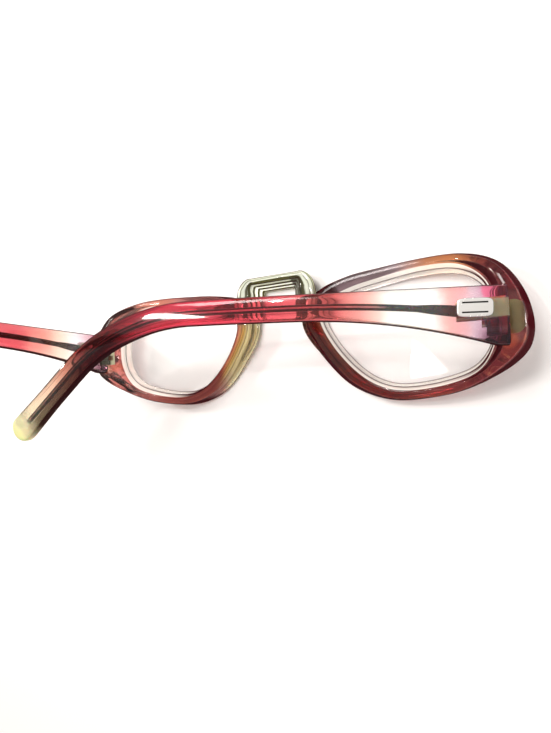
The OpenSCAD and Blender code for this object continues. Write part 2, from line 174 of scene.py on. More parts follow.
# how the back climbs to the end piece: share of the rim's width, share of the climb, and height added
rimClimb = [(0.04, 0.0, -0.1), (0.13, 0.1, 0.0), (0.2, 0.86, 0.0), (0.28, 1.0, 0.0)]
lensShape = np.array([
    [-1, 0.34], [-0.85, -0.15], [-0.58, -0.62], [-0.3, -0.9], [0.02, -1], [0.48, -0.92], [0.82, -0.71],
    [0.98, -0.3], [1, 0.18], [0.91, 0.64], [0.66, 0.93], [0.28, 1], [-0.17, 0.94], [-0.6, 0.83],
    [-0.9, 0.64]])
lensX = (front["lensGap"] + front["lensWide"]) / 2
rimTop, rimBottom, rimNose, endWide = (front[k] for k in ("rimTop", "rimBottom", "rimNose", "endWide"))
rimWidths = np.array([rimNose, 0.84 * rimNose, 0.82 * rimNose, 1.1 * rimBottom, rimBottom, 1.04 * rimBottom,
                      0.46 * endWide, 1.04 * endWide, endWide, 0.72 * endWide, 1.35 * rimTop, 1.1 * rimTop,
                      1.35 * rimTop, 1.7 * rimTop, 0.95 * rimNose])
noseShare = np.array([1, 0.75, 0.6, 0.35, 0.15, 0, 0, 0, 0, 0, 0, 0, 0, 0.15, 0.6])
endShare = np.array([0, 0, 0, 0, 0, 0, 0.3, 1.05, 1.1, 0.8, 0.15, 0, 0, 0, 0])
crest = math.hypot(front["restX"], front["blend"])


def bow(x):
    # depth of the front surface: the square of the way from restX over twice the base radius, smooth across
    # the bridge
    return (np.hypot(x, front["blend"]) - crest) ** 2 / (2 * front["baseRadius"])


backZ = pins[1][2] - front["pinBack"]
buttZ = pins[1][2] - front["butt"]


def stationValues():
    # the lens opening, its outward direction, and the rim's width, nose flare and rise all round it
    values = catmullRom(np.column_stack([lensShape, rimWidths, noseShare, endShare]), front["stepsRound"])
    opening = values[:, :2] * [front["lensWide"] / 2, front["lensHigh"] / 2] + [lensX, 0]
    along = np.roll(opening, -1, 0) - np.roll(opening, 1, 0)
    along /= np.linalg.norm(along, axis=1)[:, None]
    outward = np.column_stack([along[:, 1], -along[:, 0]])
    return opening, outward, values[:, 2], front["noseFlare"] * values[:, 3].clip(0), values[:, 4].clip(0, 1)


def wallSlope(flare, rise):
    # how far the inner wall slopes in to its front lip: less in the end piece and beside the nose
    ease = front["riseEase"] * rise + front["flareEase"] * flare / front["noseFlare"]
    return front["innerSlope"] * (1 - ease)


def rim(name, side):
    # each section goes from the front lip past the lens groove to the back, over the end piece and round
    opening, outward, w, flare, rise = stationValues()
    depth, slope = front["rimDepth"], wallSlope(flare, rise)
    r = np.minimum(front["edgeRound"], front["edgeShare"] * w)
    seat, back, half = -front["seatShare"] * slope, front["grooveBack"], front["grooveHalf"]
    lean = front["endLean"] * rise
    soft = front["soft"] * r

    def lift(out):
        # what the end piece adds in height at a distance out from the lens opening
        return rise * (buttZ - bow(opening[:, 0] + out * outward[:, 0]) - depth)

    top, edge, flat = w - r - lean, w - soft - lean, 0 * w
    steps = [(-slope + front["lipIn"], front["lipDeep"] + flat), (-slope, front["wallDeep"] + flat),
             (seat - front["grooveSoft"], back - half + flat), (seat + front["groove"], back + flat),
             (seat + front["grooveSoft"], back + half + flat),
             (flat - front["backIn"], depth - front["backDeep"] + flat)]
    steps += [(share * w, depth + part * lift(share * w) + more) for share, part, more in rimClimb]
    steps += [(top, depth + lift(top)), (edge, depth + lift(edge) - soft),
              (w - front["sideIn"] * lean, depth + front["sideUp"] * lift(w) - r),
              (w + flare, r), (w + flare - soft, soft), (w + flare - r, flat)]
    sections = cutCorners(np.stack([np.stack(s, -1) for s in steps], 1))
    plan = opening[:, None] + sections[..., :1] * outward[:, None]
    grid = np.concatenate([plan, bow(plan[..., :1]) + sections[..., 1:]], -1)
    return surface(name, atFront(grid * [side, 1, 1]), ringAlong=True)


saddle = {
    "top": 21.9, "half": 11.0, "thick": 4.9, "thin": 2.0, "sink": 0.9, "stepIn": 2.5, "legWide": 5.4,
    "legSpare": 0.2, "legThin": 0.4, "legEnd": 8.0, "legOut": 0.5, "legOutMore": 0.8, "legTaper": 0.05,
    "turnWide": 3, "turnHigh": 4, "terraces": 4, "deep": 5.3, "lowest": 0.15, "shift": 0.1, "turnSteps": 15,
    "crownSteps": 8,
}


def arch(name):
    # up one leg, over the crown and down the other; a section climbs the terraces inside and is plain outside
    turn = np.linspace(0, 1, saddle["turnSteps"])
    turnWide, turnHigh, steps = saddle["turnWide"], saddle["turnHigh"], saddle["crownSteps"]
    half = []
    for t in np.linspace(0, 1, saddle["terraces"]):
        crownR = (saddle["thick"] + t * (saddle["thin"] - saddle["thick"])) / 2
        crownY = saddle["top"] - saddle["sink"] * t - crownR
        legX = saddle["half"] - saddle["stepIn"] * (1 - t)
        legR = saddle["legWide"] / 2 + saddle["legSpare"] - saddle["legThin"] * t
        angle = np.radians(90 * (1 - turn))
        bend = np.stack([legX + turnWide * (np.cos(angle) - 1), crownY + turnHigh * (np.sin(angle) - 1),
                         crownR + (legR - crownR) * turn], -1)
        crownX = np.linspace(0, legX - turnWide, steps, endpoint=False)
        crown = np.stack([crownX, np.full(steps, crownY), np.full(steps, crownR)], -1)
        down = turn[1:]
        legTop = crownY - turnHigh
        leg = np.stack([legX + (saddle["legOut"] + saddle["legOutMore"] * t) * down,
                        legTop - (legTop - saddle["legEnd"]) * down,
                        legR * (1 - saddle["legTaper"] * down)], -1)
        half.append(np.vstack([crown, bend, leg]))
    half = np.stack(half, 1)
    line = np.concatenate([half[:0:-1] * [-1, 1, 1], half])
    along = np.gradient(line[..., :2], axis=0)
    along /= np.linalg.norm(along, axis=-1)[..., None]
    outward = np.stack([-along[..., 1], along[..., 0]], -1)
    inner = line[..., :2] - outward * line[..., 2:]
    outer = line[..., :2] + outward * line[..., 2:]
    # each terrace starts at the height where the one before ends
    count, shift = np.arange(saddle["terraces"]), saddle["shift"]
    low = bow(0.0) + np.maximum(saddle["lowest"], saddle["deep"] * (count - shift) / saddle["terraces"])
    high = bow(0.0) + saddle["deep"] * (count + 1 - shift) / saddle["terraces"]
    ring = []
    for k in count:
        ring += [(inner[:, k], low[k]), (inner[:, k], high[k])]
    ring += [(outer[:, -1], high[-1])]
    ring += [(outer[:, k], low[k]) for k in count[::-1]]
    sections = np.stack([np.column_stack([p, np.full(len(p), z)]) for p, z in ring], 1)
    return surface(name, atFront(cutCorners(sections)))


archMark = 2


def markWhole(piece, shift):
    # moves a piece's UV map along by a whole number, so that a material can tell the piece after the union
    layer = piece.data.uv_layers["along"].data
    values = np.zeros(2 * len(piece.data.loops))
    layer.foreach_get("uv", values)
    values[::2] += shift
    layer.foreach_set("uv", values)
    return piece


frontPiece = rim("frontMoulding", 1)
combine(frontPiece, rim("rimLeft", -1), "UNION")
combine(frontPiece, markWhole(arch("saddleArch"), archMark), "UNION")
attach(frontPiece, "front")
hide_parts("front_frame")
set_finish(frontPiece, "front_acetate")
print("front:", len(frontPiece.data.polygons), "faces")


# lenses and nose pads
lens = {
    "thick": 1.9, "dome": 0.8, "clear": 0.04, "rings": 10, "bodyIn": 0.4,
}
pad = {
    "wide": 3.8, "thick": 1.3, "reach": 17, "out": 0.5, "high": 0.5, "lean": 0.25, "least": 0.003,
    "columns": 32,
}


def lensPiece(name, side):
    # the outline scaled about the lens centre and domed forward: front rings, the V edge, then back rings
    opening, outward, _, flare, rise = stationValues()
    seat = -front["seatShare"] * wallSlope(flare, rise)[:, None]
    face = opening + (seat - lens["bodyIn"]) * outward
    edge = opening + (seat + front["groove"] - lens["clear"]) * outward
    middle = np.array([lensX, 0.0])
    shares = np.linspace(0, 1, lens["rings"] + 1)[1:]
    rings = []
    for direction, run in ((-1, shares), (1, shares[::-1])):
        for share in run:
            plan = middle + share * (face - middle)
            z = bow(plan[:, 0]) + front["grooveBack"] + direction * lens["thick"] / 2
            rings.append(np.column_stack([plan, z - lens["dome"] * (1 - share**2)]))
        if direction == -1:
            rings.append(np.column_stack([edge, bow(edge[:, 0]) + front["grooveBack"]]))
    return surface(name, atFront(np.array(rings) * [side, 1, 1]))


def nosePad(name, side):
    # an ellipse carried down the sloping wall beside the nose, narrowing to a point at both ends
    opening, outward, w, flare, _ = stationValues()
    spots = np.arange(-pad["reach"], pad["reach"] + 1)
    share = np.sqrt((1 - (spots / pad["reach"]) ** 2).clip(pad["least"]))
    along = opening[spots] + (w[spots] + pad["out"] * flare[spots])[:, None] * outward[spots]
    angle = np.linspace(0, 2 * np.pi, pad["columns"], endpoint=False)
    thick = pad["thick"] / 2 * share[:, None] * np.cos(angle)
    z = pad["wide"] / 2 * share[:, None] * np.sin(angle)
    plan = along[:, None] + thick[..., None] * outward[spots][:, None]
    depth = bow(along[:, 0])[:, None] + pad["high"] * front["rimDepth"] + z - pad["lean"] * thick
    return surface(name, atFront(np.concatenate([plan, depth[..., None]], -1) * [side, 1, 1]))


for side, word in ((1, "right"), (-1, "left")):
    glass = lensPiece("lens" + word.capitalize(), side)
    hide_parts("lens_" + word)
    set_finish(glass, "lens")
    cushion = nosePad("nosePad" + word.capitalize(), side)
    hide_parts("nose_pad_" + word)
    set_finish(cushion, "pad_acetate")
    for piece in (glass, cushion):
        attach(piece, "front")
print("lenses and pads done")


# the arms: a rounded bar with a wire core, bent down over the ear
arm = {
    "inside": 0.6, "length": 143.5, "rootHigh": 13.2, "high": 6.7, "tipHigh": 7.7, "swell": 20.0,
    "taper": 46.0, "power": 2.2, "thick": 4.6, "tipThick": 3.2, "bendStart": 73.5, "bendRadius": 55.0,
    "bendAngle": 43.0, "droop": 0.8, "droopStart": 42.0, "droopReach": 18.0, "rise": 3.1, "fold": 80.0,
    "buttGap": 0.1, "corner": 3.4, "cornerHigh": 2.2, "cornerPush": 3, "bevelLong": 0.15, "bevel": 0.25,
    "tipFlat": 0.4, "tipLeast": 0.004, "tipAngles": (0.05, 1.5), "tipRows": 18, "rows": 220, "columns": 40,
}
bendAngle = math.radians(arm["bendAngle"])
bendLength = arm["bendRadius"] * bendAngle


def armTurn(u):
    # how far the ear bend has turned at u back from the pin: the way past its start over its radius
    return ((u - arm["bendStart"]) / arm["bendRadius"]).clip(0, bendAngle)


def armHalfHigh(u):
    # tall at the root, falling by a power curve to an even height, with a smooth swell at the tip
    share = (1 - np.maximum(u, 0) / arm["taper"]).clip(0)
    t = ((u - arm["length"] + arm["swell"]) / arm["swell"]).clip(0, 1)
    swell = (arm["tipHigh"] - arm["high"]) / 2 * t * t * (3 - 2 * t)
    return arm["high"] / 2 + swell + (arm["rootHigh"] - arm["high"]) / 2 * share ** arm["power"]


def armPoint(u, out, up):
    # straight back from the pin, then round the ear bend; up is square to the curve, out away from the head
    turn = armTurn(u)
    past = (u - arm["bendStart"] - bendLength).clip(0)
    back = np.minimum(u, arm["bendStart"]) + arm["bendRadius"] * np.sin(turn) + past * math.cos(bendAngle)
    drop = arm["bendRadius"] * (1 - np.cos(turn)) + past * math.sin(bendAngle)
    sag = ((u - arm["droopStart"]) / (arm["bendStart"] + arm["droopReach"] - arm["droopStart"])).clip(0, 1)
    z = back + up * np.sin(turn)
    topLine = arm["rootHigh"] / 2 - armHalfHigh(np.minimum(u, arm["bendStart"]))
    y = topLine - arm["droop"] * sag**2 - drop + up * np.cos(turn)
    x = arm["inside"] + arm["thick"] / 2 + out
    return np.stack(np.broadcast_arrays(x, y + z * math.tan(math.radians(arm["rise"])), z), -1)


def armToRow(points, side):
    # fold about the pin, on the right, or mirror, on the left, and move to the pin
    angle = math.radians(arm["fold"] if side > 0 else 0.0)
    x = points[..., 0] * math.cos(angle) - points[..., 2] * math.sin(angle)
    z = points[..., 0] * math.sin(angle) + points[..., 2] * math.cos(angle)
    return np.stack([side * x, points[..., 1], z], -1) + pins[side]


def rounded(columns, corner, start=0.0):
    # a closed rounded square, 1 to each side, as sideways and upward parts: cosine and sine raised to a power
    angle = np.linspace(0, 2 * np.pi, columns, endpoint=False) + start
    return [np.sign(part) * np.abs(part) ** (2 / corner) for part in (np.cos(angle), np.sin(angle))]


def armBar(name, side):
    # rounded rectangles along the arm, from the butt face to the round tip
    start = arm["buttGap"] - front["butt"]
    tip = arm["tipHigh"] / 2
    u = np.concatenate([[start, start + arm["bevelLong"]],
                        np.linspace(start, arm["length"] - tip, arm["rows"])[1:],
                        arm["length"] - tip + tip * np.sin(np.linspace(*arm["tipAngles"], arm["tipRows"]))])
    share = np.sqrt((1 - ((u - arm["length"] + tip) / tip).clip(0) ** 2).clip(arm["tipLeast"]))
    high = armHalfHigh(u) * share
    thick = (arm["thick"] + (arm["tipThick"] - arm["thick"]) * u.clip(0) / arm["length"]) / 2
    thick *= arm["tipFlat"] + (1 - arm["tipFlat"]) * share
    high[0], thick[0] = high[1] - arm["bevel"], thick[1] - arm["bevel"]
    across, upward = rounded(arm["columns"], arm["corner"], np.pi / arm["columns"])
    # corners of one size on tall and slim stretches alike
    squeeze = np.minimum(high, arm["cornerHigh"])[:, None]
    push = np.minimum(1, np.abs(upward) * arm["cornerPush"])
    up = upward * squeeze + np.sign(upward) * (high[:, None] - squeeze) * push
    grid = armPoint(u[:, None] + 0 * up, thick[:, None] * across, up)
    return surface(name, armToRow(grid, side))


wire = {
    "start": 7.3, "paddle": 9.5, "wide": 2.6, "round": 0.8, "flat": 0.42, "narrow": 0.45, "flatTo": 0.9,
    "near": (0.0, 0.15, 0.5, 1, 2, 3, 4, 5, 6, 7, 8, 8.8), "nose": (0.5, 0.8, 0.97), "rows": 130,
    "columns": 20,
}


def armWire(name, side):
    # a flat paddle near the hinge that runs into a round wire along the arm's middle
    rest = np.linspace(wire["start"] + wire["paddle"], arm["length"] - arm["high"], wire["rows"])
    u = np.concatenate([wire["start"] + np.array(wire["near"]), rest])
    share = ((u - wire["start"]) / wire["paddle"]).clip(0, 1)
    wide = np.where(share < 1, wire["wide"] / 2 * (1 - wire["narrow"] * share**2), wire["round"])
    wide[:len(wire["nose"])] *= wire["nose"]
    thick = np.where(share < wire["flatTo"], wire["flat"], wire["round"])
    angle = np.linspace(0, 2 * np.pi, wire["columns"], endpoint=False)
    grid = armPoint(u[:, None] + 0 * angle, thick[:, None] * np.cos(angle), wide[:, None] * np.sin(angle))
    return surface(name, armToRow(grid, side))


def block(name, side, low, high):
    # a plain box in the arm's own space, used only to cut with
    x0, y0, z0 = low
    x1, y1, z1 = high
    ring = np.array([[x0, z0], [x1, z0], [x1, z1], [x0, z1]])
    grid = np.stack([np.column_stack([ring[:, 0], np.full(4, y), ring[:, 1]]) for y in (y0, y1)])
    return surface(name, armToRow(grid, side))


plaque = {
    "long": 7.2, "high": 4.1, "thick": 0.7, "sink": 0.35, "y": 1.65, "z": 4.4, "corner": 5.0,
    "lineWide": 0.35, "lineLong": 5.2, "lineDepth": 0.2, "lineApart": 0.52, "columns": 96, "mark": 5.0,
    "over": 1.0,
}
# the plaque's section from the middle of its back round to the middle of its face: distance in and height
plaqueLoops = [
    (0.02, 0), (0, 0), (0, plaque["thick"] - 0.2), (0.05, plaque["thick"] - 0.07), (0.2, plaque["thick"]),
    (0.5, plaque["thick"]),
]


def plaqueToRow(points, side):
    # from the plaque's own out, up and along to the arm
    rise = math.radians(arm["rise"])
    out, up, along = points[..., 0], points[..., 1], points[..., 2]
    x = arm["inside"] + arm["thick"] - plaque["sink"] + out
    y = plaque["y"] + plaque["z"] * math.tan(rise) + up * math.cos(rise) + along * math.sin(rise)
    z = plaque["z"] + along * math.cos(rise) - up * math.sin(rise)
    return armToRow(np.stack([x, y, z], -1), side)


def plaquePiece(name, side):
    # a rounded plate with bevelled edges
    across, upward = rounded(plaque["columns"], plaque["corner"])
    halfLong, halfHigh = plaque["long"] / 2, plaque["high"] / 2
    rows = [np.column_stack([np.full(plaque["columns"], height), upward * (halfHigh - inset),
                             across * (halfLong - inset)]) for inset, height in plaqueLoops]
    return surface(name, plaqueToRow(np.array(rows), side))


def lineCutter(side, sign):
    # a straight groove in the plaque's face, marked in its UV map with a value past the metal's grooveMark
    halfWide, halfLong = plaque["lineWide"] / 2, plaque["lineLong"] / 2
    middle = sign * plaque["high"] * plaque["lineApart"] / 2
    low = plaque["thick"] - plaque["lineDepth"]
    high = low + plaque["over"]
    ring = np.array([[low, -halfWide], [high, -halfWide], [high, halfWide], [low, halfWide]])
    grid = np.stack([np.column_stack([ring[:, 0], ring[:, 1] + middle, np.full(4, z)])
                     for z in (-halfLong, halfLong)])
    cutter = surface("lineCutter", plaqueToRow(grid, side))
    marks = np.full(2 * len(cutter.data.loops), plaque["mark"])
    cutter.data.uv_layers["along"].data.foreach_set("uv", marks)
    return cutter


hinge = {
    "high": 7.74, "knuckle": 1.5, "room": 0.25, "leafSink": 0.34, "leafLong": 7.8, "leafY": 1.4,
    "leafHigh": 4.2, "tongueLong": 2.6, "tongueLow": -2.31, "lap": 1.0, "first": 1.0, "fit": 0.05,
    "past": 3.0, "before": 4.0,
}


def cutBlocks(side):
    # the room for the knuckles, the leaf's bed and the tongues' bed, which laps with it
    notch, reach = hinge["high"] / 2 + hinge["room"], hinge["knuckle"] + hinge["room"]
    past, first, fit = -hinge["past"], hinge["first"], hinge["fit"]
    bed, leafHalf = arm["inside"] + hinge["leafSink"], hinge["leafHigh"] / 2 + fit
    return [block("notchCutter", side, (past, -notch, -hinge["before"]), (reach, notch, reach)),
            block("leafCutter", side, (past, hinge["leafY"] - leafHalf, first),
                  (bed, hinge["leafY"] + leafHalf, hinge["leafLong"] + fit)),
            block("tongueCutter", side, (past, hinge["tongueLow"] - fit, first),
                  (bed, hinge["leafY"] - hinge["lap"], hinge["tongueLong"] + fit))]


for side, word in ((1, "right"), (-1, "left")):
    body = word + "_temple"
    bar = armBar("arm" + word.capitalize(), side)
    for cutter in cutBlocks(side):
        combine(bar, cutter, "DIFFERENCE")
    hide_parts("temple_" + word)
    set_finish(bar, "arm_acetate")
    core = armWire("coreWire" + word.capitalize(), side)
    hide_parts("core_wire_" + word)
    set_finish(core, "core_metal")
    plate = plaquePiece("plaque" + word.capitalize(), side)
    for sign in (-1, 1):
        combine(plate, lineCutter(side, sign), "DIFFERENCE")
    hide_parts("plaque_" + word)
    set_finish(plate, "plaque_metal")
    for piece in (bar, core, plate):
        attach(piece, body)
print("arms done")


class Wire:
    # a socket that adds Math nodes when it is used in an expression
    def __init__(self, tree, socket):
        self.tree, self.socket = tree, socket

    def math(self, operation, first, second=None):
        inputs = {0: first} if second is None else {0: first, 1: second}
        return self.tree.add("ShaderNodeMath", {"operation": operation}, inputs)

    def __add__(self, other):
        return self.math("ADD", self, other)

    def __sub__(self, other):
        return self.math("SUBTRACT", self, other)

    def __rsub__(self, other):
        return self.math("SUBTRACT", other, self)

    def __mul__(self, other):
        return self.math("MULTIPLY", self, other)

    def __abs__(self):
        return self.math("ABSOLUTE", self)


class Tree:
    # the nodes of a material or of the world
    def __init__(self, owner):
        owner.use_nodes = True
        self.owner, self.nodes, self.links = owner, owner.node_tree.nodes, owner.node_tree.links
        self.nodes.clear()

    def add(self, kind, settings=None, inputs=None, output=0):
        # one node with its settings and inputs; it gives the output that is asked for, if the node has any
        node = self.nodes.new(kind)
        for key, value in (settings or {}).items():
            if key == "stops":
                elements = node.color_ramp.elements
                while len(elements) < len(value):
                    elements.new(0.5)
                for element, (place, colour) in zip(elements, value):
                    element.position, element.color = place, (*colour, 1.0)
            else:
                setattr(node, key, value)
        for key, value in (inputs or {}).items():
            if isinstance(value, Wire):
                self.links.new(value.socket, node.inputs[key])
            else:
                node.inputs[key].default_value = value
        return Wire(self, node.outputs[output]) if len(node.outputs) else None

    def split(self, vector):
        # the three parts of a vector
        node = self.add("ShaderNodeSeparateXYZ", None, {0: vector}).socket.node
        return [Wire(self, part) for part in node.outputs]

    def finish(self, shader, kind="ShaderNodeOutputMaterial"):
        self.add(kind, None, {"Surface": shader})
        return self.owner


def newTree(name):
    return Tree(bpy.data.materials.new(name))


def coordinates(tree):
    # the place on the piece, and its three parts in millimetres
    place = tree.add("ShaderNodeTexCoord", output="Object")
    return place, [part * (1 / mm) for part in tree.split(place)]


def alongAndRound(tree):
    # the two values of the UV map that the surfaces were made with: along the piece and round its section
    return tree.split(tree.add("ShaderNodeUVMap", {"uv_map": "along"}))[:2]


def noise(place, scale, detail=2.0, distortion=0.0):
    return place.tree.add("ShaderNodeTexNoise", None, {
        "Vector": place, "Scale": scale, "Detail": detail, "Distortion": distortion})


def blendColour(factor, first, second, mode="MIX"):
    tree = factor.tree if isinstance(factor, Wire) else first.tree
    return tree.add("ShaderNodeMix", {"data_type": "RGBA", "blend_type": mode}, {
        "Factor": factor, 6: first, 7: second}, output=2)


def paint(tone, area, colour, share=1.0):
    # lays a plain colour over a tone, by a share of an area
    return blendColour(area * share, tone, (*colour, 1))


def scale(value, low, high, start=0.0, end=1.0):
    # a value between low and high spread evenly from start to end
    return value.tree.add("ShaderNodeMapRange", None, {
        "Value": value, "From Min": low, "From Max": high, "To Min": start, "To Max": end})


def ramp(value, low, high, stops):
    # colours at places along a value, given in the value's own unit
    places = [((p - low) / (high - low), c) for p, c in stops]
    return value.tree.add("ShaderNodeValToRGB", {"stops": places}, {"Fac": scale(value, low, high)})


def spread(value, low, high, start=0.0, end=1.0):
    # a value between low and high spread smoothly from start to end
    return value.tree.add("ShaderNodeMapRange", {"interpolation_type": "SMOOTHSTEP"}, {
        "Value": value, "From Min": low, "From Max": high, "To Min": start, "To Max": end})


def band(value, centre, outside, inside):
    # 1 within the inside distance of a centre, and 0 beyond the outside one
    return spread(abs(value - centre), outside, inside)


def turnedAway(tree):
    # 0 where the surface faces the viewer, 1 where it is seen edge on
    return tree.add("ShaderNodeLayerWeight", None, {"Blend": 0.5}, output=1)


def principled(tree, inputs):
    return tree.add("ShaderNodeBsdfPrincipled", None, inputs)


def mixShaders(factor, first, second):
    return factor.tree.add("ShaderNodeMixShader", None, {0: factor, 1: first, 2: second})


acetateLook = {"index": 1.48, "clear": 1.0, "rough": 0.05, "padRough": 0.12, "waveScale": 260.0,
               "waveDeep": 0.0004, "outlineRough": 0.6}


def edgeShade(tone, low, high, deep):
    # deeper colour where the surface turns away, because the light crosses more of the material there
    share = spread(turnedAway(tone.tree), low, high)
    return blendColour(share, tone, blendColour(1.0, tone, (*deep, 1), "MULTIPLY"))


def acetate(colour, roughness, bump=None):
    inputs = {"Base Color": colour, "Roughness": roughness, "IOR": acetateLook["index"],
              "Transmission Weight": acetateLook["clear"]}
    if bump is not None:
        inputs["Normal"] = bump
    return principled(colour.tree, inputs)


def waves(place, strength):
    # the slight unevenness of polished acetate
    return place.tree.add("ShaderNodeBump", None, {
        "Height": noise(place, acetateLook["waveScale"]), "Strength": strength,
        "Distance": acetateLook["waveDeep"]})


# painted shade: a dull dark shader is mixed in where the surface turns away, and also where told
# this stands in for the dark edges that thick acetate shows on a pale table
def outlined(shader, low, high, amount, deep, also):
    # dull and dark where the surface turns away, as thick acetate looks on a pale table, and also where told
    dark = principled(shader.tree, {"Base Color": (*deep, 1), "Roughness": acetateLook["outlineRough"],
                                    "IOR": 1.0, "Specular IOR Level": 0.0})
    return mixShaders(spread(turnedAway(shader.tree), low, high, 0.0, amount) + also, shader, dark)


# In the dictionaries of looks a noise is its scale, detail and distortion, and a wave is how far it moves
# a place. An area is from where to where a colour comes in, or a centre with its outer and inner half width.
# Out is the distance from the middle and up the height above the pins, in millimetres; round is the place
# round a section. A tone is a colour and its share.
frontStops = [
    (0, (0.9, 0.95, 0.74)), (10, (0.9, 0.95, 0.74)), (14, (0.42, 0.3, 0.2)), (21, (0.32, 0.06, 0.04)),
    (44, (0.28, 0.025, 0.03)), (58, (0.3, 0.03, 0.04)), (69, (0.16, 0.012, 0.02)),
]
# stripes round the lower bars; the pale pink stops at 0.52 and 0.555 are a painted highlight streak
rimRound = [
    (0.34, (0.07, 0.01, 0.01)), (0.36, (0.3, 0.03, 0.03)), (0.5, (0.24, 0.02, 0.025)),
    (0.52, (0.85, 0.42, 0.36)), (0.555, (0.8, 0.3, 0.26)), (0.57, (0.1, 0.01, 0.01)),
    (0.58, (0.34, 0.04, 0.035)), (0.62, (0.36, 0.04, 0.035)), (0.64, (0.8, 0.22, 0.1)),
    (0.68, (0.75, 0.18, 0.08)), (0.7, (0.12, 0.01, 0.01)), (0.74, (0.3, 0.03, 0.03)),
    (1.0, (0.4, 0.05, 0.04)),
]
bodyLook = {
    "span": 72.0, "browUp": (9.0, 15.0), "browOut": (30.0, 19.0, 10.0), "brow": ((0.62, 0.52, 0.56), 0.9),
    "amberOut": (49.0, 14.0, 2.0), "amber": ((0.58, 0.24, 0.09), 0.85), "rimFrom": (16.0, 22.0),
    "rimTo": (56.0, 46.0), "rimUp": (8.0, 0.0), "rimShare": 0.85, "leftX": (4.0, -30.0),
    "leftOut": (12.0, 20.0), "left": ((0.8, 0.28, 0.24), 0.6),
}


def bodyTone(x, out, up, ripple):
    # pale green at the nose and red to the end pieces, with a grey and amber brow and striped lower bars; the
    # left half is paler
    look = bodyLook
    tone = ramp(out, 0, look["span"], frontStops)
    brow = spread(up, *look["browUp"])
    tone = paint(tone, brow * band(out, *look["browOut"]), *look["brow"])
    tone = paint(tone, brow * band(out, *look["amberOut"]), *look["amber"])
    lower = spread(out, *look["rimFrom"]) * spread(out, *look["rimTo"]) * spread(up, *look["rimUp"])
    # the lower bars' stripes carry a painted highlight streak
    tone = blendColour(lower * look["rimShare"], tone, ramp(ripple, 0, 1, rimRound))
    return paint(tone, spread(x, *look["leftX"]) * spread(out, *look["leftOut"]), *look["left"])


wallLook = {
    "tone": (0.97, 0.94, 0.86), "lines": (0.205, 0.345), "lineHalf": (0.009, 0.003),
    "line": ((0.16, 0.08, 0.06), 0.8), "edge": (0.35, 0.75, (0.14, 0.06, 0.05)),
}


def wallTone(tone, wall, section):
    # the rims' inner walls are pale, with thin dark lines along them
    tone = paint(tone, wall, wallLook["tone"])
    for centre in wallLook["lines"]:
        tone = paint(tone, band(section, centre, *wallLook["lineHalf"]), *wallLook["line"])
    return edgeShade(tone, *wallLook["edge"])


leftNoseRound = [
    (0.33, (0.97, 0.9, 0.8)), (0.36, (0.72, 0.12, 0.08)), (0.5, (0.75, 0.16, 0.1)),
    (0.555, (0.8, 0.3, 0.12)), (0.563, (0.16, 0.05, 0.02)), (0.57, (0.95, 0.5, 0.14)),
    (0.588, (0.98, 0.58, 0.16)), (0.595, (0.16, 0.08, 0.02)), (0.602, (1.0, 0.8, 0.3)),
    (0.625, (1.0, 0.86, 0.36)), (0.64, (0.98, 0.95, 0.7)), (0.655, (0.2, 0.12, 0.03)),
    (0.67, (0.8, 0.7, 0.3)), (0.73, (1.0, 0.96, 0.6)), (0.742, (0.2, 0.15, 0.05)),
    (0.755, (0.7, 0.65, 0.36)), (0.8, (0.85, 0.78, 0.4)), (0.812, (0.24, 0.2, 0.08)),
    (0.83, (0.8, 0.7, 0.4)),
]
rightNoseRound = [
    (0.2, (0.97, 0.94, 0.88)), (0.215, (0.14, 0.05, 0.04)), (0.23, (0.97, 0.94, 0.88)),
    (0.33, (0.95, 0.88, 0.8)), (0.345, (0.08, 0.01, 0.01)), (0.37, (0.9, 0.75, 0.66)),
    (0.5, (0.88, 0.6, 0.5)), (0.56, (0.5, 0.12, 0.09)), (0.575, (0.12, 0.01, 0.01)),
    (0.59, (0.6, 0.26, 0.2)), (0.645, (0.7, 0.34, 0.26)), (0.66, (0.1, 0.01, 0.01)),
    (0.69, (0.5, 0.1, 0.07)), (0.74, (0.16, 0.02, 0.02)), (1.0, (0.3, 0.1, 0.06)),
]
noseLook = {"up": (11.0, 4.0), "out": (25.0, 19.0), "left": (0.0, -1.0), "right": (0.0, 1.0)}
endLook = {
    "ends": (50.0, 60.0), "patch": (230.0, 3.0, 1.2), "darkPatch": (0.5, 0.62),
    "dark": ((0.07, 0.006, 0.01), 0.85), "warmPatch": (0.42, 0.34), "warm": ((0.62, 0.2, 0.1), 0.7),
    "seatOut": (60.4, 7.5, 5.0), "seatUp": (0.0, 6.5, 4.5), "seatDeep": (-3.0, -1.0),
    "seat": ((0.6, 0.52, 0.36), 0.8), "spotCore": 0.3,
}
# round spots: out, up, reach, colour and share
darkSpots = [
    (68.2, 5.0, 2.4, (0.03, 0.004, 0.006), 0.9), (68.6, -1.4, 1.7, (0.05, 0.005, 0.008), 0.8),
    # the third spot is painted shade on the tops of the nasal rims, where the folded arm lies over the right
    # one
    (15.5, 12.4, 5.0, (0.08, 0.008, 0.012), 0.7),
]
warmSpots = [(63.4, -5.0, 2.6, (0.7, 0.12, 0.05), 0.6), (67.0, 9.6, 1.8, (0.75, 0.25, 0.25), 0.6)]


def endTone(tone, place, x, up, z, out, wall):
    # the thick end pieces are blotched with near black and warm brown; the hinge plate's seat in them is pale
    look = endLook
    ends = spread(out, *look["ends"]) * (1.0 - wall)
    patch = noise(place, *look["patch"])
    tone = paint(tone, ends * spread(patch, *look["darkPatch"]), *look["dark"])
    tone = paint(tone, ends * spread(patch, *look["warmPatch"]), *look["warm"])
    seat = band(abs(x - middleX), *look["seatOut"]) * band(up, *look["seatUp"])
    return paint(tone, seat * spread(z - buttZ, *look["seatDeep"]), *look["seat"])


